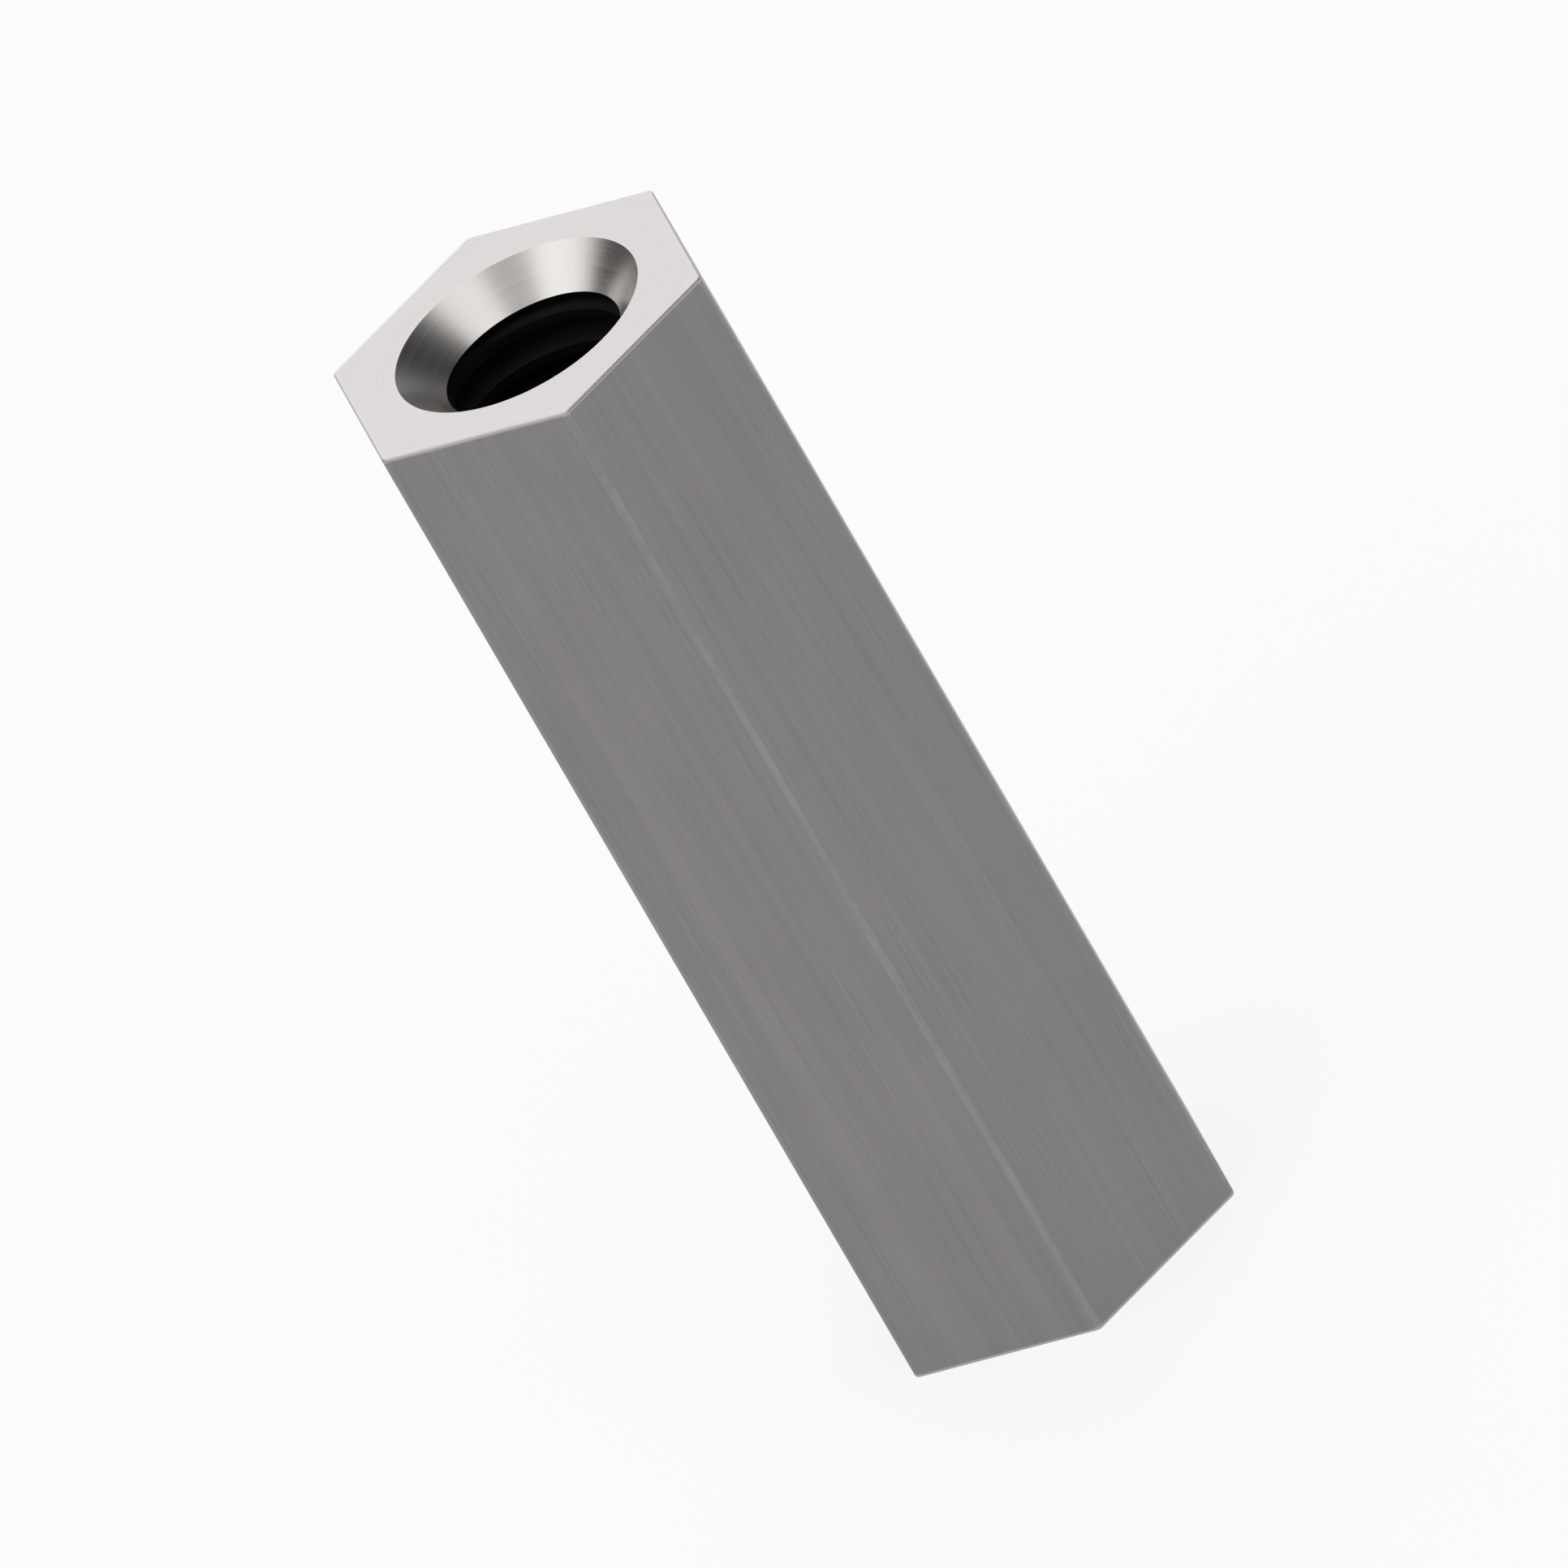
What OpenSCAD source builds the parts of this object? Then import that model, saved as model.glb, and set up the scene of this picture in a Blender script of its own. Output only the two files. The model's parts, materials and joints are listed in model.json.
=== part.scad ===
// Female to female hex standoff: one length of drawn hex bar, faced to length,
// drilled and tapped right through, and countersunk at both ends.
// It stands on one end. The origin is the middle of the lower end face, +Z runs up the bore,
// and one long corner of the bar faces -Y.

/* [Hex bar] */
// Width across the flats, which is the spanner size
across_flats = 5.5; // [5:0.5:12]
// Length between the two end faces
body_length = 18; // [5:0.5:60]
// Radius that drawing leaves on the long corners of the bar
corner_radius = 0.1; // [0.02:0.01:0.3]
// Leg of the fine chamfer that takes the burr off the rim of each end face
edge_break = 0.04; // [0.01:0.01:0.2]

/* [Tapped hole] */
// Nominal diameter of the thread
thread_diameter = 3.5; // [2:0.1:4.2]
// Pitch of the thread
thread_pitch = 0.6; // [0.4:0.05:0.8]
// How far the countersink reaches past the thread on each side, at the end face
countersink_reach = 0.275; // [0.1:0.025:0.35]
// Included angle of the countersink
countersink_angle = 90; // [60:5:120]

/* [Hidden] */

// A hex bar has six flats, and its first long corner faces -Y
FLATS = 6;
first_corner = -90;
// Sides of a round face on screen
ROUND = 96;
// How far a cutting shape runs past the face that it opens
overcut = 0.5;
// Lean of the fine chamfer on the rim of each end face
edge_break_lean = 45;
// Half the angle between one long corner and the next
half_corner = 180 / FLATS;
// Distance from the axis to a flat
flat_reach = across_flats / 2;
// Distance from the axis to the centre of a corner's radius
corner_reach = (flat_reach - corner_radius) / cos(half_corner);
// A thread's tapping drill is its diameter less one pitch
tapping_drill = thread_diameter - thread_pitch;
// Radii of the hole's wall and of the countersink's mouth
bore_radius = tapping_drill / 2;
mouth_radius = thread_diameter / 2 + countersink_reach;
// Slope of the countersink, as radius gained for each step along the axis
countersink_slope = tan(countersink_angle / 2);
countersink_depth = (mouth_radius - bore_radius) / countersink_slope;
stainless_steel = [0.53, 0.52, 0.51];

// Point on a circle of the given radius about the axis
function polar(radius, angle) = [radius * cos(angle), radius * sin(angle)];

// Direction of long corner i, counted round from the first
function corner_angle(i) = first_corner + i * 2 * half_corner;

// Section of the drawn bar: straight flats that run into rounded corners
module bar_section() {
    // Where each corner's radius runs out into the flats beside it
    polygon([
        for (i = [0 : FLATS - 1], side = [-1, 1])
            polar(corner_reach, corner_angle(i)) + polar(corner_radius, corner_angle(i) + side * half_corner)
    ]);
    for (i = [0 : FLATS - 1])
        translate(polar(corner_reach, corner_angle(i)))
            circle(r = corner_radius, $fn = ROUND);
}

// Square rods laid along the rim of the upper end face, each with one side on the fine chamfer
module rim_chamfers() {
    for (i = [0 : FLATS - 1])
        rotate(corner_angle(i) + half_corner)
            translate([flat_reach, 0, body_length])
                rotate([0, edge_break_lean, 0])
                    translate([-overcut / 2, -across_flats / 2, -edge_break * sin(edge_break_lean)])
                        cube([overcut, across_flats, overcut]);
}

// Space of the tapped hole: its wall at the thread's crests, opening into a countersink at each end
module tapped_hole() {
    cut_radius = mouth_radius + overcut * countersink_slope;
    rotate_extrude($fn = ROUND)
        polygon([
            [0, -overcut],
            [cut_radius, -overcut],
            [bore_radius, countersink_depth],
            [bore_radius, body_length - countersink_depth],
            [cut_radius, body_length + overcut],
            [0, body_length + overcut]
        ]);
}

module hex_standoff() {
    color(stainless_steel)
        difference() {
            linear_extrude(body_length)
                bar_section();
            rim_chamfers();
            translate([0, 0, body_length])
                mirror([0, 0, 1])
                    rim_chamfers();
            tapped_hole();
        }
}

hex_standoff();
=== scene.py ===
"""Hex standoff for Blender, laid out as an add-on.

The standoff is one closed mesh: a hex bar with drawn flats, faced ends and turned countersinks. Its thread
comes from a Geometry Nodes tree. A plain studio is set round it, with the camera at the photo's angle.
"""

import json
import math

import bmesh
import bpy
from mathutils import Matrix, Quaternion, Vector


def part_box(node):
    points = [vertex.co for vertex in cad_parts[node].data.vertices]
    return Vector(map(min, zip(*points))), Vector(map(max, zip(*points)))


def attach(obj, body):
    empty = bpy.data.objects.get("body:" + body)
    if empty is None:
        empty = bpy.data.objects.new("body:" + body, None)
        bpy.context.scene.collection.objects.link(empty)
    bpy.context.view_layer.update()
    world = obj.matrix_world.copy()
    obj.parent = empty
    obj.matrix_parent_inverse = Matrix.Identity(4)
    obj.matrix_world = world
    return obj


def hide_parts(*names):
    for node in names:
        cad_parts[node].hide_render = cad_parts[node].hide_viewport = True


bl_info = {
    "name": "Hex Standoff",
    "version": (1, 0, 0),
    "blender": (4, 5, 0),
    "location": "View3D > Sidebar > Standoff",
    "description": "Builds a hex standoff with drawn flats, faced ends and a tapped hole",
    "category": "Object",
}

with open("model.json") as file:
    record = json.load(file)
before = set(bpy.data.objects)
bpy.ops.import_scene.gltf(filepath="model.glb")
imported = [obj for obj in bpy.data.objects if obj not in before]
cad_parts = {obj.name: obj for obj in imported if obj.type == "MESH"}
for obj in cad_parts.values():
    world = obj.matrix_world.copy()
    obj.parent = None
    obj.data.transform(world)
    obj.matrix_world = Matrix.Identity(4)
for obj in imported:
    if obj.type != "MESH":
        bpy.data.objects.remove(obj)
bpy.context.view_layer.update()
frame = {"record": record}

MM = 0.001
NODE = "hex_standoff"
BODY = "root"

# A hex bar has six flats, and its first long corner faces -Y
FLATS = 6
FIRST_CORNER = -math.pi / 2
HALF_CORNER = math.pi / FLATS
# Mesh steps round one rounded corner, along the flat that follows it, and over both
CORNER_STEPS = 4
FLAT_STEPS = 16
SECTOR_STEPS = CORNER_STEPS + FLAT_STEPS
COLUMNS = FLATS * SECTOR_STEPS
# Mesh steps along the bore for each turn of the thread
TURN_STEPS = 16
# Turns that the thread's grid has beyond the thread's length, so that every column reaches both feet
EXTRA_TURNS = 2.0
# Half the width of a thread's root as a share of its pitch, and the slope of its 30 degree flanks
ROOT_SHARE = 1 / 16
FLANK_SLOPE = math.sqrt(3)
# Wear on the rim of an end face, on a countersink's rim and on the long corners of the bar, where it is
# partly a painted highlight line
RIM_WEAR = 1.0
COUNTERSINK_WEAR = 0.8
CORNER_WEAR_AND_HIGHLIGHT = 0.45
# How far wear reaches in from an edge
WEAR_REACH = 0.05 * MM
# Edges that turn more than this are shaded sharp
SHARP_ANGLE = math.radians(32)
# Points nearer than this are one point
WELD = 0.0001 * MM

# Spacing and depth of the lines along the flats, and a line's length over its width
LINE_SPACING = 0.045 * MM
LINE_DEPTH = 0.0015 * MM
LINE_STRETCH = 90.0
# Spacing and depth of the rings about the bore, and how much a ring changes on its way round
FACED_SPACING = 0.05 * MM
TURNED_SPACING = 0.06 * MM
TAPPED_SPACING = 0.05 * MM
RING_DEPTH = 0.001 * MM
RING_DRIFT = 0.1
# Scale of the broad lines among the fine ones, and their share in the lines' height and tone
BROAD_SCALE = 0.23
BROAD_IN_HEIGHT = 0.35
BROAD_IN_TONE = 0.4
# Patches to the metre in smudges, in nicks and where nicks fall, and in slow and quick changes of wear
SMUDGE_SCALE = 420.0
NICK_SCALE = 900.0
NICKED_SCALE = 650.0
SLOW_WEAR_SCALE = 300.0
QUICK_WEAR_SCALE = 2600.0
# How far the slow and quick changes move the wear
SLOW_WEAR = 0.4
QUICK_WEAR = 0.25
# Range over which each mark comes in: of noise, of distance from a nick's middle, and of wear
TONE_RANGE = (0.3, 0.7)
SMUDGE_RANGE = (0.32, 0.68)
NICK_RANGE = (0.02, 0.09)
NICKED_RANGE = (0.56, 0.66)
WEAR_RANGE = (0.25, 1.1)
# Depth of nicks in the flats and the ends, over that of the lines or rings there
FLAT_NICKS = 0.6
END_NICKS = 0.5
# Roughness that lines, rings and smudges add, with a share of its own for smudges on the thread, and that
# rubbing takes away
LINE_ROUGHNESS = 0.06
RING_ROUGHNESS = 0.05
SMUDGE_ROUGHNESS = 0.05
THREAD_SMUDGE_ROUGHNESS = 0.1
RUBBED_ROUGHNESS = 0.06
# Brightness of rubbed edges on the flats and the ends, over that of the end faces; on the long corners it
# is partly a painted highlight
RUBBED_FLAT_AND_HIGHLIGHT = 0.8
RUBBED_END = 1.08
# Places of a Mix node's sockets when it mixes colours
MIX_FACTOR = 0
MIX_LOW = 6
MIX_HIGH = 7
MIX_RESULT = 2
WHITE = (1.0, 1.0, 1.0, 1.0)

# Softboxes that hang side by side over the standoff and face straight down, and one behind that faces it:
# name, middle, width, height, and brightness over that of the stage's softbox setting
DOWN = Vector((0.0, 0.0, -1.0))
HANGING_SOFTBOXES = (
    ("softbox_left", (-1.58, -1.05, 1.5), 1.52, 4.9, 1.11),
    ("softbox_middle", (-0.375, -1.05, 1.5), 0.89, 4.9, 0.43),
    ("softbox_right", (0.635, -1.05, 1.5), 1.13, 4.9, 0.98),
)
BACK_SOFTBOX = ("softbox_back", (0.0, 1.8, 0.98), 2.1, 1.25, 1.23)
# Where the studio's walls change, as parts of a direction of length 1: from left to right, up the wall
# behind, from front to back, and up the wall in front. The front's light leans back as it goes up.
WALL_SIDES = (-0.6, 0.6)
WALL_BEHIND = (0.0, 0.5)
WALL_BACKWARD = (-0.2, 0.25)
WALL_LEAN = 0.8
WALL_IN_FRONT = (0.25, 0.7)
# Floor and camera
FLOOR_RADIUS = 1.2
FLOOR_SIDES = 96
FLOOR_ROUGHNESS = 0.9
CAMERA_DISTANCE = 0.5
CAMERA_CLIP = (0.01, 10.0)

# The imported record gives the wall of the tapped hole
tapped_wall = next(m["dims"] for m in frame["record"]["mounts"] if m["name"] == "upper_thread")
node_low, node_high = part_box(NODE)
node_length = node_high.z - node_low.z


# Sizes, finishes and stage settings


class StandoffSizes(bpy.types.PropertyGroup):
    """Sizes of the standoff, in metres."""

    across_flats: bpy.props.FloatProperty(
        name="Across Flats",
        description="Width between two opposite flats of the bar",
        default=node_high.x - node_low.x,
        unit="LENGTH",
    )
    length: bpy.props.FloatProperty(
        name="Length",
        description="Distance between the two end faces",
        default=node_length,
        unit="LENGTH",
    )
    corner_radius: bpy.props.FloatProperty(
        name="Corner Radius",
        description="Radius that drawing leaves on the long corners",
        default=0.1 * MM,
        unit="LENGTH",
    )
    edge_break: bpy.props.FloatProperty(
        name="Edge Break",
        description="Radius of the broken edge round each end face",
        default=0.04 * MM,
        unit="LENGTH",
    )
    bore_radius: bpy.props.FloatProperty(
        name="Bore Radius",
        description="Radius of the hole at the crests of the thread",
        default=tapped_wall["r_mm"] * MM,
        unit="LENGTH",
    )
    thread_pitch: bpy.props.FloatProperty(
        name="Thread Pitch",
        description="Distance along the bore from one turn of the thread to the next",
        default=0.6 * MM,
        unit="LENGTH",
    )
    thread_depth: bpy.props.FloatProperty(
        name="Thread Depth",
        description="Depth of the thread's groove below its crests",
        default=0.3 * MM,
        unit="LENGTH",
    )
    thread_lead: bpy.props.FloatProperty(
        name="Thread Lead",
        description="Distance below a countersink over which the thread comes to its full depth",
        default=0.45 * MM,
        unit="LENGTH",
    )
    thread_start: bpy.props.FloatProperty(
        name="Thread Start",
        description="Angle round the bore at which the thread begins",
        default=0.0,
        subtype="ANGLE",
    )
    countersink_depth: bpy.props.FloatProperty(
        name="Countersink Depth",
        description="Depth of the 90 degree countersink at each end",
        default=(node_length - tapped_wall["length_mm"] * MM) / 2,
        unit="LENGTH",
    )


class StandoffFinish(bpy.types.PropertyGroup):
    """Colours of the standoff's surfaces, and their roughness before marks add to it. The flats' colour is
    darkened as painted shade, the ends' colour lightened as painted light.
    """

    # Painted shade: the flats' colour is darker than bare steel, standing in for the shade on them
    drawn: bpy.props.FloatVectorProperty(
        name="Drawn Flats",
        description="Colour of the dull flats that the drawing die leaves",
        default=(0.2335, 0.2252, 0.2212),
        subtype="COLOR",
    )
    # Painted light: the ends' colour is lighter than bare steel, standing in for the light on them
    faced: bpy.props.FloatVectorProperty(
        name="Faced Ends",
        description="Colour of the bright end faces",
        default=(0.743, 0.716, 0.71),
        subtype="COLOR",
    )
    turned: bpy.props.FloatVectorProperty(
        name="Turned Countersinks",
        description="Colour of the smooth countersinks",
        default=(0.66, 0.635, 0.616),
        subtype="COLOR",
    )
    # Painted shade: the thread's near-black colour stands in for the shade deep in the bore
    thread_painted_shade: bpy.props.FloatVectorProperty(
        name="Tapped Thread",
        description="Colour of the thread, dark with cutting oil",
        default=(0.019, 0.0186, 0.0182),
        subtype="COLOR",
    )
    drawn_roughness: bpy.props.FloatProperty(
        name="Drawn Roughness",
        description="Roughness of the flats",
        default=0.34,
        subtype="FACTOR",
    )
    faced_roughness: bpy.props.FloatProperty(
        name="Faced Roughness",
        description="Roughness of the satin end faces",
        default=0.55,
        subtype="FACTOR",
    )
    turned_roughness: bpy.props.FloatProperty(
        name="Turned Roughness",
        description="Roughness of the countersinks",
        default=0.26,
        subtype="FACTOR",
    )
    tapped_roughness: bpy.props.FloatProperty(
        name="Tapped Roughness",
        description="Roughness of the thread",
        default=0.65,
        subtype="FACTOR",
    )


class StandoffStage(bpy.types.PropertyGroup):
    """Floor, light and camera settings."""

    floor: bpy.props.FloatVectorProperty(
        name="Floor",
        description="Colour of the floor",
        default=(0.96, 0.96, 0.96),
        subtype="COLOR",
    )
    floor_glow: bpy.props.FloatProperty(
        name="Floor Glow",
        description="Share of the floor's paleness that light doesn't change, so that shadows stay faint",
        default=0.82,
        subtype="FACTOR",
    )
    room_left: bpy.props.FloatProperty(
        name="Room Left",
        description="Brightness of the studio's wall on the left, in front of the standoff",
        default=1.1,
    )
    room_right: bpy.props.FloatProperty(
        name="Room Right",
        description="Brightness of the studio's wall on the right, in front of the standoff",
        default=0.45,
    )
    room_back_left: bpy.props.FloatProperty(
        name="Room Back Left",
        description="Brightness of the foot of the studio's wall on the left, behind the standoff",
        default=0.1,
    )
    room_back_right: bpy.props.FloatProperty(
        name="Room Back Right",
        description="Brightness of the foot of the studio's wall on the right, behind the standoff",
        default=0.34,
    )
    room_high: bpy.props.FloatProperty(
        name="Room High",
        description="Brightness of the studio's ceiling, between the softboxes",
        default=0.01,
    )
    softbox: bpy.props.FloatProperty(
        name="Softbox",
        description="Brightness of the softboxes' fabric",
        default=1.25,
    )
    elevation: bpy.props.FloatProperty(
        name="Elevation",
        description="Height of the camera above the floor, as an angle",
        default=math.radians(28.13),
        subtype="ANGLE",
    )
    azimuth: bpy.props.FloatProperty(
        name="Azimuth",
        description="Turn of the camera round the standoff, from the corner that faces -Y",
        default=math.radians(0.40),
        subtype="ANGLE",
    )
    roll: bpy.props.FloatProperty(
        name="Roll",
        description="Turn of the camera about its own line of sight",
        default=math.radians(30.24),
        subtype="ANGLE",
    )
    view_width: bpy.props.FloatProperty(
        name="View Width",
        description="Width of the picture at the standoff",
        default=23.42 * MM,
        unit="LENGTH",
    )


# Help with node trees


class Signal:
    """A number that varies over a mesh or a surface. Arithmetic on it adds Math nodes to its tree."""

    def __init__(self, tree, socket):
        self.tree = tree
        self.socket = socket

    def math(self, operation, *others):
        node = self.tree.nodes.new("ShaderNodeMath")
        node.operation = operation
        for socket, value in zip(node.inputs, (self, *others)):
            feed(self.tree, socket, value)
        return Signal(self.tree, node.outputs[0])

    def __add__(self, other):
        return self.math("ADD", other)

    def __sub__(self, other):
        return self.math("SUBTRACT", other)

    def __mul__(self, other):
        return self.math("MULTIPLY", other)

    def __truediv__(self, other):
        return self.math("DIVIDE", other)

    def at_most(self, other):
        return self.math("MINIMUM", other)

    def at_least(self, other):
        return self.math("MAXIMUM", other)

    def over(self, other):
        return self.math("GREATER_THAN", other)


def feed(tree, socket, value):
    """Links a signal or a socket to an input, or sets a plain value on it."""
    if isinstance(value, Signal):
        value = value.socket
    if isinstance(value, bpy.types.NodeSocket):
        tree.links.new(value, socket)
    else:
        socket.default_value = value


def add_node(tree, kind, inputs=None, **settings):
    """Adds a node with the given settings and feeds its named inputs."""
    node = tree.nodes.new(kind)
    for name, value in settings.items():
        setattr(node, name, value)
    for name, value in (inputs or {}).items():
        feed(tree, node.inputs[name], value)
    return node


def new_group(name, kind, inputs, outputs):
    """Starts a node group with named sockets and returns it with its input and output nodes."""
    tree = bpy.data.node_groups.new(name, kind)
    for label, socket_type in inputs:
        tree.interface.new_socket(label, in_out="INPUT", socket_type=socket_type)
    for label, socket_type in outputs:
        tree.interface.new_socket(label, in_out="OUTPUT", socket_type=socket_type)
    return tree, tree.nodes.new("NodeGroupInput"), tree.nodes.new("NodeGroupOutput")


def split(tree, vector):
    """The three parts of a vector, as signals."""
    node = add_node(tree, "ShaderNodeSeparateXYZ", {"Vector": vector})
    return [Signal(tree, socket) for socket in node.outputs]


def join(tree, x, y, z):
    """The vector with these three parts."""
    return add_node(tree, "ShaderNodeCombineXYZ", {"X": x, "Y": y, "Z": z}).outputs["Vector"]


def noise(tree, vector, scale, detail=2.0, roughness=0.5):
    """Noise about 0.5 at the given scale, as a signal."""
    node = add_node(
        tree,
        "ShaderNodeTexNoise",
        {"Vector": vector, "Scale": scale, "Detail": detail, "Roughness": roughness},
    )
    return Signal(tree, node.outputs["Fac"])


def ramp(tree, value, low, high, out_low=0.0, out_high=1.0):
    """The value carried smoothly from one range to another, held at its ends."""
    node = add_node(
        tree,
        "ShaderNodeMapRange",
        {"Value": value, "From Min": low, "From Max": high, "To Min": out_low, "To Max": out_high},
        interpolation_type="SMOOTHSTEP",
    )
    return Signal(tree, node.outputs["Result"])


def blend(first, second, share):
    """Two signals mixed, with the given share of the second."""
    return first * (1 - share) + second * share


# Tree that makes the thread


def thread_tree():
    """A tree that closes a bored bar with a right-hand thread between the feet of its countersinks."""
    tree, start, end = new_group(
        "Tapped thread",
        "GeometryNodeTree",
        [
            ("Bar", "NodeSocketGeometry"),
            ("Foot", "NodeSocketFloat"),
            ("Length", "NodeSocketFloat"),
            ("Bore Radius", "NodeSocketFloat"),
            ("Pitch", "NodeSocketFloat"),
            ("Depth", "NodeSocketFloat"),
            ("Lead", "NodeSocketFloat"),
            ("Start Angle", "NodeSocketFloat"),
            ("First Angle", "NodeSocketFloat"),
            ("Columns", "NodeSocketInt"),
            ("Turn Steps", "NodeSocketInt"),
            ("Weld", "NodeSocketFloat"),
            ("Finish", "NodeSocketMaterial"),
        ],
        [("Bar", "NodeSocketGeometry")],
    )
    tree.is_modifier = True

    def given(name):
        return Signal(tree, start.outputs[name])

    length = given("Length")
    pitch = given("Pitch")
    turn_steps = given("Turn Steps")

    # A flat grid about its own middle: once round the bore in X, and a row for each step of the thread in Y
    rows = ((length / pitch + EXTRA_TURNS) * turn_steps).math("CEIL")
    grid = add_node(
        tree,
        "GeometryNodeMeshGrid",
        {"Size X": 1.0, "Size Y": rows, "Vertices X": given("Columns") + 1.0, "Vertices Y": rows + 1.0},
    )
    position = tree.nodes.new("GeometryNodeInputPosition").outputs["Position"]
    across, along, _ = split(tree, position)
    turn = across + 0.5
    step = (along + rows / 2.0) / turn_steps
    angle = turn * math.tau + given("First Angle")

    # Rows climb one pitch in each turn, and are held at the feet of the countersinks
    height = ((step + turn - (EXTRA_TURNS + 1) / 2) * pitch).at_least(0.0).at_most(length)

    # Thread section: a narrow root, straight flanks and a wider crest, deepening from each foot
    phase = step + given("Start Angle") / math.tau
    from_root = phase.math("PINGPONG", 0.5) * pitch
    full_groove = given("Depth") - (from_root - pitch * ROOT_SHARE).at_least(0.0) * FLANK_SLOPE
    from_foot = height.at_most(length - height)
    opened = ramp(tree, from_foot / given("Lead"), 0.0, 1.0)
    radius = given("Bore Radius") + full_groove.at_least(0.0) * opened

    x = radius * angle.math("COSINE")
    y = radius * angle.math("SINE")
    place = join(tree, x, y, height + given("Foot"))
    wall = add_node(
        tree,
        "GeometryNodeSetPosition",
        {"Geometry": grid.outputs["Mesh"], "Position": place},
    )
    marked = add_node(tree, "GeometryNodeCaptureAttribute", domain="FACE")
    marked.capture_items.new("BOOLEAN", "Tapped")
    feed(tree, marked.inputs["Geometry"], wall.outputs["Geometry"])
    feed(tree, marked.inputs["Tapped"], True)
    both = tree.nodes.new("GeometryNodeJoinGeometry")
    feed(tree, both.inputs["Geometry"], start.outputs["Bar"])
    feed(tree, both.inputs["Geometry"], marked.outputs["Geometry"])
    welded = add_node(
        tree,
        "GeometryNodeMergeByDistance",
        {"Geometry": both.outputs["Geometry"], "Distance": given("Weld")},
    )
    real = add_node(tree, "GeometryNodeRealizeInstances", {"Geometry": welded.outputs["Geometry"]})
    finished = add_node(
        tree,
        "GeometryNodeSetMaterial",
        {
            "Geometry": real.outputs["Geometry"],
            "Selection": marked.outputs["Tapped"],
            "Material": start.outputs["Finish"],
        },
    )
    feed(tree, end.inputs["Bar"], finished.outputs["Geometry"])
    return tree


# Shared effects of the finishes


def tool_lines_group(name):
    """Fine lines that a die or a cutting tool leaves. One unit of X is one line's spacing."""
    tree, start, end = new_group(
        name,
        "ShaderNodeTree",
        [("Vector", "NodeSocketVector")],
        [("Height", "NodeSocketFloat"), ("Tone", "NodeSocketFloat")],
    )
    vector = start.outputs["Vector"]
    fine = noise(tree, vector, 1.0, detail=3.0, roughness=0.6)
    broad = noise(tree, vector, BROAD_SCALE, detail=2.0, roughness=0.55)
    feed(tree, end.inputs["Height"], blend(fine, broad, BROAD_IN_HEIGHT))
    feed(tree, end.inputs["Tone"], ramp(tree, blend(fine, broad, BROAD_IN_TONE), *TONE_RANGE))
    return tree


def handling_group(name):
    """Marks of handling: soft smudges and sparse small nicks."""
    tree, start, end = new_group(
        name,
        "ShaderNodeTree",
        [("Vector", "NodeSocketVector")],
        [("Smudge", "NodeSocketFloat"), ("Nicks", "NodeSocketFloat")],
    )
    vector = start.outputs["Vector"]
    smudge = noise(tree, vector, SMUDGE_SCALE, detail=3.0, roughness=0.55)
    cells = add_node(
        tree,
        "ShaderNodeTexVoronoi",
        {"Vector": vector, "Scale": NICK_SCALE, "Randomness": 1.0},
    )
    spots = ramp(tree, Signal(tree, cells.outputs["Distance"]), *NICK_RANGE, 1.0, 0.0)
    sparse = ramp(tree, noise(tree, vector, NICKED_SCALE, detail=1.0), *NICKED_RANGE)
    feed(tree, end.inputs["Smudge"], ramp(tree, smudge, *SMUDGE_RANGE))
    feed(tree, end.inputs["Nicks"], spots * sparse)
    return tree


def edge_wear_and_highlight_group(name):
    """Brightness that rubbing leaves along an edge, partly a painted highlight on the long corners, varied
    so that it isn't even.
    """
    tree, start, end = new_group(
        name,
        "ShaderNodeTree",
        [("Edge", "NodeSocketFloat"), ("Vector", "NodeSocketVector")],
        [("Mask", "NodeSocketFloat")],
    )
    vector = start.outputs["Vector"]
    slow = noise(tree, vector, SLOW_WEAR_SCALE)
    quick = noise(tree, vector, QUICK_WEAR_SCALE, detail=2.0, roughness=0.6)
    edge = Signal(tree, start.outputs["Edge"])
    reach = edge + (slow - 0.5) * SLOW_WEAR + (quick - 0.5) * QUICK_WEAR
    feed(tree, end.inputs["Mask"], ramp(tree, reach, *WEAR_RANGE))
    return tree


EFFECTS = {
    "Tool lines": tool_lines_group,
    "Handling": handling_group,
    "Edge wear and highlight": edge_wear_and_highlight_group,
}


def effect(tree, name, inputs):
    """Adds a shared effect, made on first use, to a material. Returns its outputs as signals, by name."""
    group = bpy.data.node_groups.get(name) or EFFECTS[name](name)
    node = add_node(tree, "ShaderNodeGroup", node_tree=group)
    for label, value in inputs.items():
        feed(tree, node.inputs[label], value)
    return {socket.name: Signal(tree, socket) for socket in node.outputs}


# Finishes


def shade(colour, amount):
    """The colour made lighter or darker by a factor, as red, green, blue and alpha."""
    return (*(min(1.0, part * amount) for part in colour), 1.0)


def mix_colour(tree, factor, low, high):
    """A colour between two others."""
    node = add_node(tree, "ShaderNodeMix", data_type="RGBA")
    feed(tree, node.inputs[MIX_FACTOR], factor)
    feed(tree, node.inputs[MIX_LOW], low)
    feed(tree, node.inputs[MIX_HIGH], high)
    return node.outputs[MIX_RESULT]


def toned(tree, tone, colour, swing):
    """The colour, darker by the swing where the tone is 0 and lighter by it where the tone is 1."""
    return mix_colour(tree, tone, shade(colour, 1 - swing), shade(colour, 1 + swing))


def rubbed(tree, wear, plain, bright, strength):
    """The plain colour, carried towards a bright one where the edges have been rubbed."""
    return mix_colour(tree, wear * strength, plain, bright)


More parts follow.
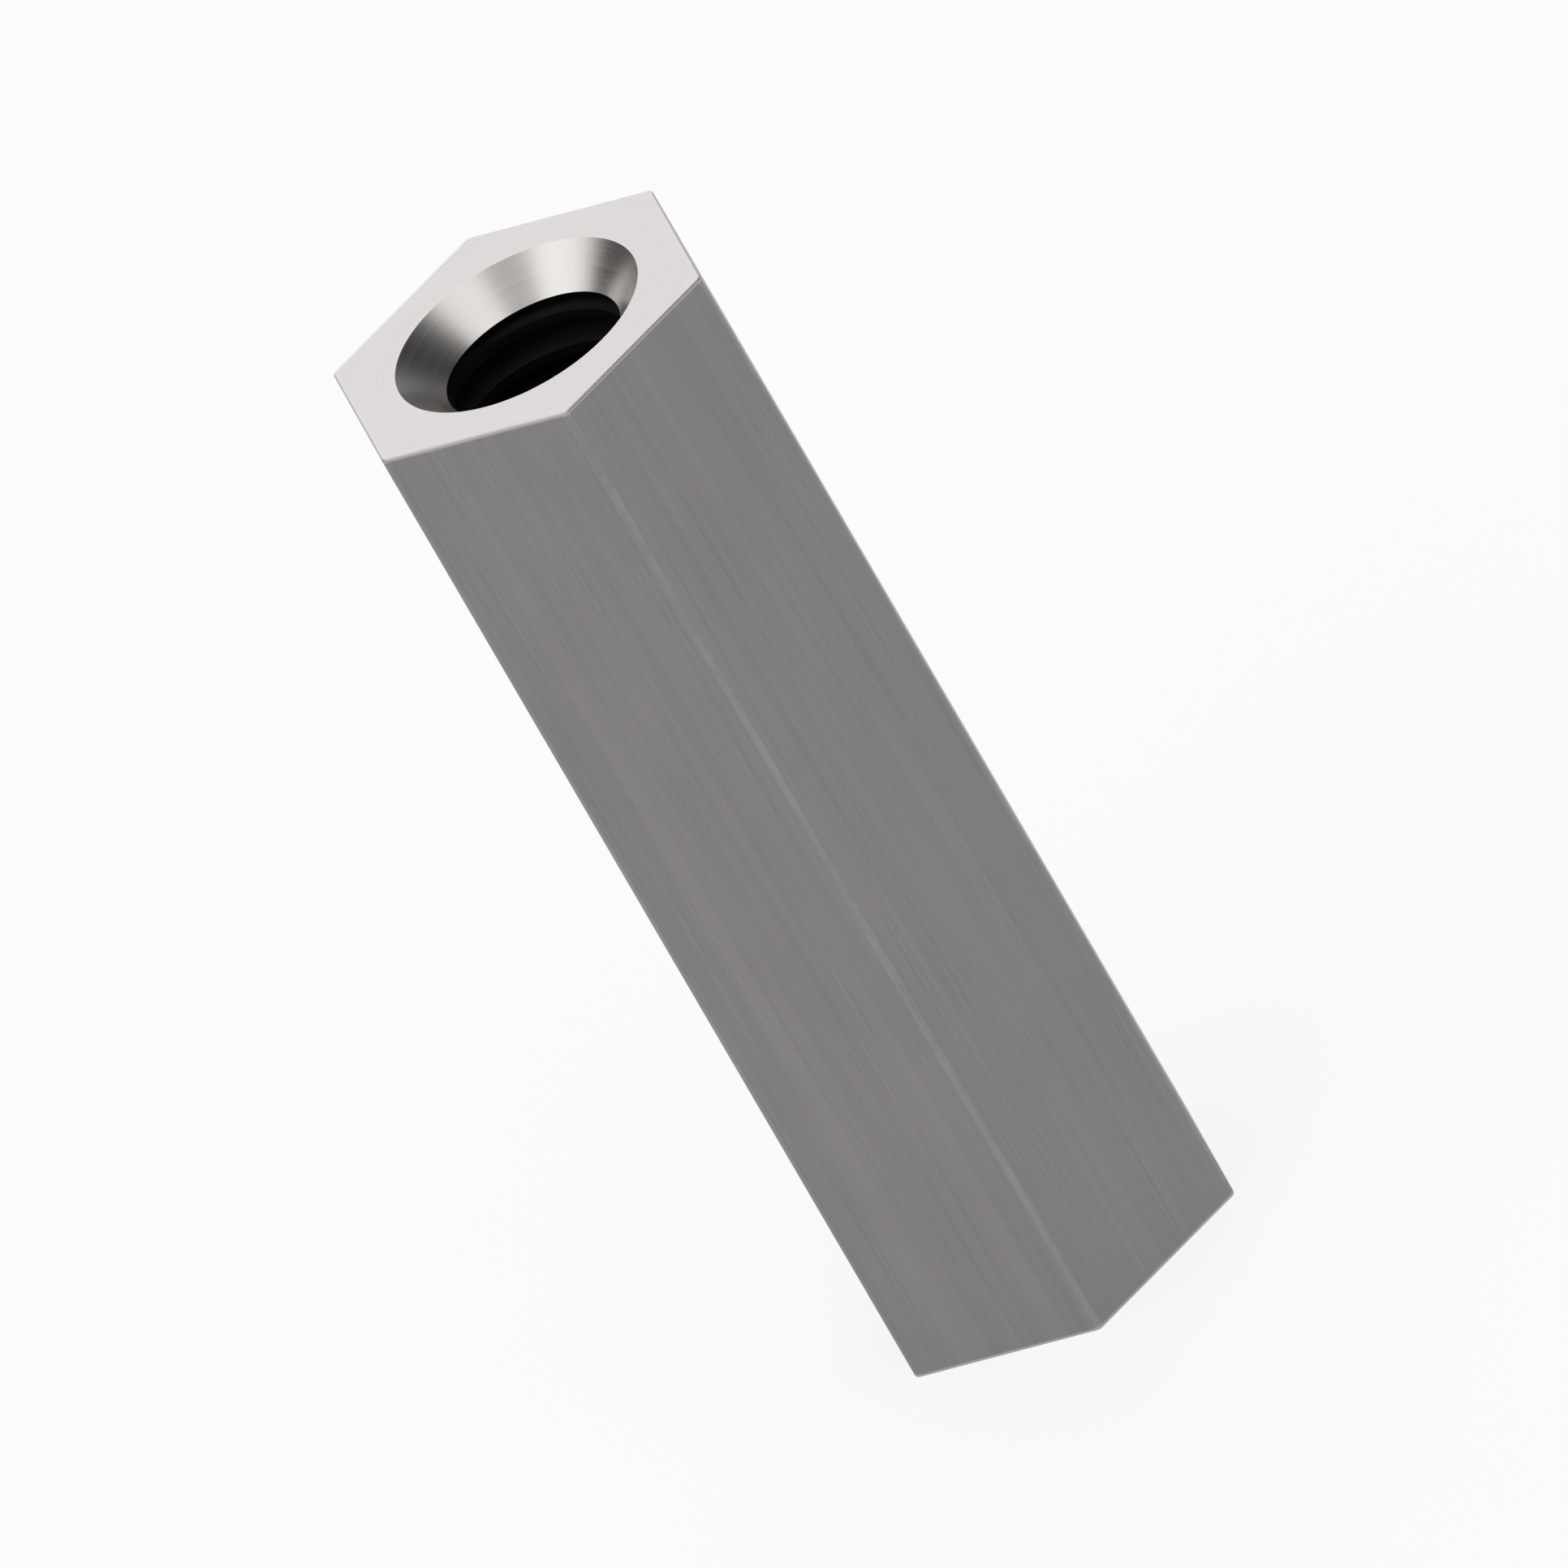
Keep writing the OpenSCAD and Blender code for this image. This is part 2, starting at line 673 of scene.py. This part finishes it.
def new_finish(name):
    """A metal material with its Principled shader and the coordinates that its patterns read."""
    material = bpy.data.materials.new(name)
    material.use_nodes = True
    tree = material.node_tree
    shader = tree.nodes["Principled BSDF"]
    shader.inputs["Metallic"].default_value = 1.0
    coordinates = tree.nodes.new("ShaderNodeTexCoord").outputs["Object"]
    return material, tree, shader, coordinates


def add_bump(tree, shader, height, depth, strength):
    """Gives the shader a bump of the given depth, in metres."""
    bump = add_node(
        tree,
        "ShaderNodeBump",
        {"Strength": strength, "Distance": depth, "Height": height},
    )
    feed(tree, shader.inputs["Normal"], bump.outputs["Normal"])


def straight_lines(tree, coordinates):
    """Tool lines along the bar."""
    x, y, z = split(tree, coordinates)
    vector = join(tree, x / LINE_SPACING, y / LINE_SPACING, z / (LINE_SPACING * LINE_STRETCH))
    return effect(tree, "Tool lines", {"Vector": vector})


def round_lines(tree, coordinates, spacing):
    """Tool lines in rings about the bore, counted out from it and on from the middle of the bar."""
    x, y, z = split(tree, coordinates)
    radius = (x * x + y * y).math("SQRT")
    from_middle = z - node_length / 2
    rings = (radius + from_middle.math("ABSOLUTE")) / spacing
    vector = join(tree, rings, x / radius * RING_DRIFT, y / radius * RING_DRIFT)
    return effect(tree, "Tool lines", {"Vector": vector})


def worn_and_highlit_edges(tree, coordinates):
    """Mask of the edges that have been rubbed, partly a painted highlight along the long corners."""
    edge = add_node(tree, "ShaderNodeAttribute", attribute_name="edge_wear_and_highlight").outputs["Fac"]
    return effect(tree, "Edge wear and highlight", {"Edge": edge, "Vector": coordinates})["Mask"]


def drawn_finish(finish):
    """Flats with fine lines along the bar, darkened as painted shade, lighter at rubbed edges and painted
    corner highlights.
    """
    material, tree, shader, coordinates = new_finish("drawn_flats")
    lines = straight_lines(tree, coordinates)
    marks = effect(tree, "Handling", {"Vector": coordinates})
    wear = worn_and_highlit_edges(tree, coordinates)
    tone = blend(lines["Tone"], marks["Smudge"], share=0.25)
    plain = toned(tree, tone, finish.drawn, swing=0.11)
    worn = rubbed(tree, wear, plain, shade(finish.faced, RUBBED_FLAT_AND_HIGHLIGHT), strength=0.5)
    feed(tree, shader.inputs["Base Color"], worn)
    rough = lines["Tone"] * LINE_ROUGHNESS + marks["Smudge"] * SMUDGE_ROUGHNESS
    rough = rough + finish.drawn_roughness - wear * RUBBED_ROUGHNESS
    feed(tree, shader.inputs["Roughness"], rough)
    add_bump(tree, shader, lines["Height"] - marks["Nicks"] * FLAT_NICKS, LINE_DEPTH, strength=0.6)
    return material


def faced_finish(finish):
    """End faces with the fine rings of a facing cut, in a colour lightened as painted light."""
    material, tree, shader, coordinates = new_finish("faced_ends")
    rings = round_lines(tree, coordinates, FACED_SPACING)
    marks = effect(tree, "Handling", {"Vector": coordinates})
    wear = worn_and_highlit_edges(tree, coordinates)
    tone = blend(rings["Tone"], marks["Smudge"], share=0.4)
    plain = toned(tree, tone, finish.faced, swing=0.08)
    worn = rubbed(tree, wear, plain, shade(finish.faced, RUBBED_END), strength=0.4)
    feed(tree, shader.inputs["Base Color"], worn)
    rough = rings["Tone"] * RING_ROUGHNESS + marks["Smudge"] * SMUDGE_ROUGHNESS
    feed(tree, shader.inputs["Roughness"], rough + finish.faced_roughness)
    add_bump(tree, shader, rings["Height"] - marks["Nicks"] * END_NICKS, RING_DEPTH, strength=0.4)
    return material


def turned_finish(finish):
    """Smooth countersinks with the faint rings of the tool."""
    material, tree, shader, coordinates = new_finish("turned_countersinks")
    rings = round_lines(tree, coordinates, TURNED_SPACING)
    feed(tree, shader.inputs["Base Color"], toned(tree, rings["Tone"], finish.turned, swing=0.04))
    feed(tree, shader.inputs["Roughness"], rings["Tone"] * RING_ROUGHNESS + finish.turned_roughness)
    add_bump(tree, shader, rings["Height"], RING_DEPTH, strength=0.1)
    return material


def thread_with_painted_shade(finish):
    """Thread in a near-black colour, painted shade for the dark deep in the bore, whose crests still catch
    light.
    """
    material, tree, shader, coordinates = new_finish("dark_thread_painted_shade")
    rings = round_lines(tree, coordinates, TAPPED_SPACING)
    marks = effect(tree, "Handling", {"Vector": coordinates})
    tone = blend(rings["Tone"], marks["Smudge"], share=0.5)
    feed(tree, shader.inputs["Base Color"], toned(tree, tone, finish.thread_painted_shade, swing=0.3))
    feed(tree, shader.inputs["Roughness"], marks["Smudge"] * THREAD_SMUDGE_ROUGHNESS + finish.tapped_roughness)
    add_bump(tree, shader, rings["Height"], RING_DEPTH, strength=0.4)
    return material


# Mesh of the bar


def polar(radius, angle):
    """Point at that radius and angle about the bore."""
    return Vector((radius * math.cos(angle), radius * math.sin(angle)))


def bar_outline(sizes, inset):
    """Points round the bar's section, drawn in by the inset: each corner, then the flat after it."""
    reach = (sizes.across_flats / 2 - sizes.corner_radius) / math.cos(HALF_CORNER)
    radius = sizes.corner_radius - inset
    points = []
    for i in range(FLATS):
        facing = FIRST_CORNER + 2 * HALF_CORNER * i
        after = facing + 2 * HALF_CORNER
        for s in range(CORNER_STEPS + 1):
            lean = HALF_CORNER * (2 * s / CORNER_STEPS - 1)
            points.append(polar(reach, facing) + polar(radius, facing + lean))
        corner_end = points[-1]
        corner_start = polar(reach, after) + polar(radius, after - HALF_CORNER)
        near = WEAR_REACH / (corner_start - corner_end).length
        for s in range(FLAT_STEPS - 1):
            share = near + (1 - 2 * near) * s / (FLAT_STEPS - 2)
            points.append(corner_end.lerp(corner_start, share))
    return points


def first_angle():
    """Angle of the first column, which starts the corner that faces -Y."""
    return FIRST_CORNER - math.tau * (CORNER_STEPS / 2) / COLUMNS


def hole_outline(radius):
    """Points round a circle about the bore, one for each column of the bar."""
    return [polar(radius, first_angle() + math.tau * i / COLUMNS) for i in range(COLUMNS)]


def edge_surface(step):
    """Surface after that step over a broken edge: half in the ends' painted light, half in the flats'
    painted shade.
    """
    if step < CORNER_STEPS / 2:
        return "rim"
    if step < CORNER_STEPS:
        return "rounded"
    return "drawn"


def end_rings(sizes):
    """Rings over one end, from the foot of its countersink to the start of the flats.

    Each ring is its points, its distance below the end face, its wear, and the surface that follows it.
    """
    # At 90 degrees, a countersink widens as fast as it rises
    foot = sizes.countersink_depth
    rim = sizes.bore_radius + foot
    rings = [
        (hole_outline(sizes.bore_radius), foot, 0.0, "turned"),
        (hole_outline(rim), 0.0, COUNTERSINK_WEAR, "faced"),
        (hole_outline(rim + WEAR_REACH), 0.0, 0.0, "faced"),
        (bar_outline(sizes, sizes.edge_break + WEAR_REACH), 0.0, 0.0, "faced"),
    ]
    for s in range(CORNER_STEPS + 1):
        lean = math.pi / 2 * s / CORNER_STEPS
        inset = sizes.edge_break * (1 - math.sin(lean))
        drop = sizes.edge_break * (1 - math.cos(lean))
        rings.append((bar_outline(sizes, inset), drop, RIM_WEAR, edge_surface(s)))
    rings.append((bar_outline(sizes, 0.0), sizes.edge_break + WEAR_REACH, 0.0, "drawn"))
    return rings


def bar_rings(sizes):
    """Rings of the bar, from the foot of the upper countersink down to the foot of the lower one.

    Each ring is its points, its height, its wear, and the surface that follows it.
    """
    end = end_rings(sizes)
    rings = [(points, sizes.length - drop, wear, surface) for points, drop, wear, surface in end]
    surfaces = [None] + [surface for _, _, _, surface in end[:-1]]
    for (points, drop, wear, _), surface in zip(reversed(end), reversed(surfaces)):
        rings.append((points, drop, wear, surface))
    return rings


def build_bar(sizes, finishes):
    """The bar without its thread: a mesh open at the feet of the two countersinks."""
    rings = bar_rings(sizes)
    slots = {"drawn": 0, "rounded": 0, "faced": 1, "rim": 1, "turned": 2}
    # Each flat, the two ends and the two countersinks are facets, and 0 is the rounding between them
    facets = {"faced": -1, "turned": -2}
    bm = bmesh.new()
    wear_layer = bm.verts.layers.float.new("edge_wear_and_highlight")
    facet_layer = bm.faces.layers.int.new("facet")
    grid = []
    for number, (points, height, wear, surface) in enumerate(rings):
        beside_flats = "drawn" in (surface, rings[number - 1][3])
        row = []
        for column, point in enumerate(points):
            vertex = bm.verts.new((point.x, point.y, height))
            on_corner = column % SECTOR_STEPS <= CORNER_STEPS
            # The long corners' wear is partly a painted highlight line along them
            vertex[wear_layer] = max(wear, CORNER_WEAR_AND_HIGHLIGHT) if on_corner and beside_flats else wear
            row.append(vertex)
        grid.append(row)
    for (_, _, _, surface), upper, lower in zip(rings, grid, grid[1:]):
        for column in range(COLUMNS):
            after = (column + 1) % COLUMNS
            face = bm.faces.new((upper[column], lower[column], lower[after], upper[after]))
            face.material_index = slots[surface]
            sector, place = divmod(column, SECTOR_STEPS)
            on_flat = surface == "drawn" and place >= CORNER_STEPS
            face[facet_layer] = sector + 1 if on_flat else facets.get(surface, 0)
    for edge in bm.edges:
        edge.smooth = len({face[facet_layer] for face in edge.link_faces}) == 1
    bm.faces.layers.int.remove(facet_layer)
    mesh = bpy.data.meshes.new("standoff_bar")
    bm.to_mesh(mesh)
    bm.free()
    for finish in finishes:
        mesh.materials.append(finish)
    return mesh


def close_mesh(mesh):
    """Turns the faces outward, shades them, and makes sure that the mesh is closed."""
    bm = bmesh.new()
    bm.from_mesh(mesh)
    bmesh.ops.recalc_face_normals(bm, faces=bm.faces)
    open_edges = sum(not edge.is_manifold for edge in bm.edges)
    if open_edges:
        raise RuntimeError(f"the standoff has {open_edges} open edges")
    if bm.calc_volume(signed=True) < 0:
        bmesh.ops.reverse_faces(bm, faces=bm.faces)
    for edge in bm.edges:
        if edge.calc_face_angle(0.0) > SHARP_ANGLE:
            edge.smooth = False
    for face in bm.faces:
        face.smooth = True
    bm.to_mesh(mesh)
    bm.free()


def set_inputs(modifier, values):
    """Sets a Geometry Nodes modifier's inputs by the names that its tree gives them."""
    for item in modifier.node_group.interface.items_tree:
        if item.item_type == "SOCKET" and item.in_out == "INPUT" and item.name in values:
            modifier[item.identifier] = values[item.name]


class STANDOFF_OT_hex_bar(bpy.types.Operator):
    """Build the hex bar with its tapped hole"""

    bl_idname = "standoff.hex_bar"
    bl_label = "Hex Bar"

    def execute(self, context):
        sizes = context.scene.standoff_sizes
        finish = context.scene.standoff_finish
        bar = build_bar(sizes, (drawn_finish(finish), faced_finish(finish), turned_finish(finish)))
        piece = bpy.data.objects.new("tapped_hex_bar", bar)
        context.scene.collection.objects.link(piece)
        modifier = piece.modifiers.new("Tapped thread", "NODES")
        modifier.node_group = thread_tree()
        set_inputs(
            modifier,
            {
                "Foot": sizes.countersink_depth,
                "Length": sizes.length - 2 * sizes.countersink_depth,
                "Bore Radius": sizes.bore_radius,
                "Pitch": sizes.thread_pitch,
                "Depth": sizes.thread_depth,
                "Lead": sizes.thread_lead,
                "Start Angle": sizes.thread_start,
                "First Angle": first_angle(),
                "Columns": COLUMNS,
                "Turn Steps": TURN_STEPS,
                "Weld": WELD,
                "Finish": thread_with_painted_shade(finish),
            },
        )
        depsgraph = context.evaluated_depsgraph_get()
        mesh = bpy.data.meshes.new_from_object(piece.evaluated_get(depsgraph))
        piece.modifiers.clear()
        piece.data = mesh
        bpy.data.meshes.remove(bar)
        close_mesh(mesh)
        mesh.name = piece.name
        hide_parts(NODE)
        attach(piece, BODY)
        return {"FINISHED"}


# Stage


def add_softbox(scene, name, place, facing, width, height, brightness):
    """A rectangular softbox that faces a direction, with fabric of the given brightness."""
    lamp = bpy.data.lights.new(name, "AREA")
    lamp.shape = "RECTANGLE"
    lamp.size = width
    lamp.size_y = height
    lamp.energy = brightness * math.pi * width * height
    holder = bpy.data.objects.new(name, lamp)
    holder.location = place
    holder.rotation_mode = "QUATERNION"
    holder.rotation_quaternion = facing.to_track_quat("-Z", "Y")
    scene.collection.objects.link(holder)


def add_world(scene, stage):
    """Studio walls that are bright in front and dim behind, and the floor's own paleness below them."""
    world = bpy.data.worlds.new("studio")
    world.use_nodes = True
    tree = world.node_tree
    background = tree.nodes["Background"]
    direction = tree.nodes.new("ShaderNodeTexCoord").outputs["Generated"]
    x, y, height = split(tree, direction)
    behind = ramp(tree, x, *WALL_SIDES, stage.room_back_left, stage.room_back_right)
    dim = ramp(tree, height, *WALL_BEHIND, behind, stage.room_high)
    front = ramp(tree, x, *WALL_SIDES, stage.room_left, stage.room_right)
    forward = ramp(tree, y + height * WALL_LEAN, *WALL_BACKWARD, 1.0, 0.0)
    low = ramp(tree, height, *WALL_IN_FRONT, 1.0, 0.0)
    room = dim + front * forward * low
    grey = join(tree, room, room, room)
    below = (*stage.floor, 1.0)
    feed(tree, background.inputs["Color"], mix_colour(tree, height.over(0.0), below, grey))
    scene.world = world


def add_floor(scene, stage):
    """A wide plain floor under the standoff."""
    bm = bmesh.new()
    bmesh.ops.create_circle(bm, cap_ends=True, segments=FLOOR_SIDES, radius=FLOOR_RADIUS)
    mesh = bpy.data.meshes.new("floor")
    bm.to_mesh(mesh)
    bm.free()
    material = bpy.data.materials.new("floor")
    material.use_nodes = True
    tree = material.node_tree
    shader = tree.nodes["Principled BSDF"]
    shader.inputs["Base Color"].default_value = (*stage.floor, 1.0)
    shader.inputs["Roughness"].default_value = FLOOR_ROUGHNESS
    shader.inputs["Specular IOR Level"].default_value = 0.0
    glow = add_node(tree, "ShaderNodeEmission", {"Color": WHITE, "Strength": 1.0})
    path = tree.nodes.new("ShaderNodeLightPath")
    seen = Signal(tree, path.outputs["Is Camera Ray"])
    seen = seen.at_least(path.outputs["Is Glossy Ray"]).at_least(path.outputs["Is Transmission Ray"])
    mixed = tree.nodes.new("ShaderNodeMixShader")
    feed(tree, mixed.inputs[0], seen * stage.floor_glow)
    feed(tree, mixed.inputs[1], shader.outputs["BSDF"])
    feed(tree, mixed.inputs[2], glow.outputs["Emission"])
    feed(tree, tree.nodes["Material Output"].inputs["Surface"], mixed.outputs["Shader"])
    mesh.materials.append(material)
    floor = bpy.data.objects.new("floor", mesh)
    scene.collection.objects.link(floor)


def add_camera(scene, stage, aim):
    """A camera without perspective, as the photo was made."""
    lens = bpy.data.cameras.new("camera")
    lens.type = "ORTHO"
    lens.ortho_scale = stage.view_width
    lens.clip_start, lens.clip_end = CAMERA_CLIP
    camera = bpy.data.objects.new("camera", lens)
    level = math.cos(stage.elevation)
    back = Vector(
        (
            math.sin(stage.azimuth) * level,
            -math.cos(stage.azimuth) * level,
            math.sin(stage.elevation),
        )
    )
    camera.location = aim + back * CAMERA_DISTANCE
    upright = back.to_track_quat("Z", "Y")
    camera.rotation_mode = "QUATERNION"
    camera.rotation_quaternion = upright @ Quaternion((0.0, 0.0, 1.0), -stage.roll)
    scene.collection.objects.link(camera)
    scene.camera = camera


class STANDOFF_OT_stage(bpy.types.Operator):
    """Set up the floor, the light and the camera"""

    bl_idname = "standoff.stage"
    bl_label = "Stage"

    def execute(self, context):
        scene = context.scene
        stage = scene.standoff_stage
        middle = (node_low + node_high) / 2
        scene.view_settings.view_transform = "Standard"
        add_floor(scene, stage)
        add_world(scene, stage)
        for name, place, width, height, share in HANGING_SOFTBOXES:
            add_softbox(scene, name, place, DOWN, width, height, stage.softbox * share)
        name, place, width, height, share = BACK_SOFTBOX
        add_softbox(scene, name, place, middle - Vector(place), width, height, stage.softbox * share)
        add_camera(scene, stage, middle)
        return {"FINISHED"}


# Panel


class STANDOFF_PT_panel(bpy.types.Panel):
    """Sizes and steps of the standoff"""

    bl_label = "Hex Standoff"
    bl_space_type = "VIEW_3D"
    bl_region_type = "UI"
    bl_category = "Standoff"

    def draw(self, context):
        layout = self.layout
        scene = context.scene
        for group in (scene.standoff_sizes, scene.standoff_finish, scene.standoff_stage):
            box = layout.box()
            for name in group.__annotations__:
                box.prop(group, name)
        layout.operator(STANDOFF_OT_hex_bar.bl_idname)
        layout.operator(STANDOFF_OT_stage.bl_idname)


CLASSES = (
    StandoffSizes,
    StandoffFinish,
    StandoffStage,
    STANDOFF_OT_hex_bar,
    STANDOFF_OT_stage,
    STANDOFF_PT_panel,
)


def register():
    """Adds the standoff's classes and settings to Blender."""
    for cls in CLASSES:
        bpy.utils.register_class(cls)
    bpy.types.Scene.standoff_sizes = bpy.props.PointerProperty(type=StandoffSizes)
    bpy.types.Scene.standoff_finish = bpy.props.PointerProperty(type=StandoffFinish)
    bpy.types.Scene.standoff_stage = bpy.props.PointerProperty(type=StandoffStage)


def unregister():
    """Takes the standoff's classes and settings out of Blender."""
    del bpy.types.Scene.standoff_stage
    del bpy.types.Scene.standoff_finish
    del bpy.types.Scene.standoff_sizes
    for cls in reversed(CLASSES):
        bpy.utils.unregister_class(cls)


def main():
    """Builds the standoff and its stage."""
    register()
    bpy.ops.standoff.hex_bar()
    bpy.ops.standoff.stage()


if __name__ == "__main__":
    main()
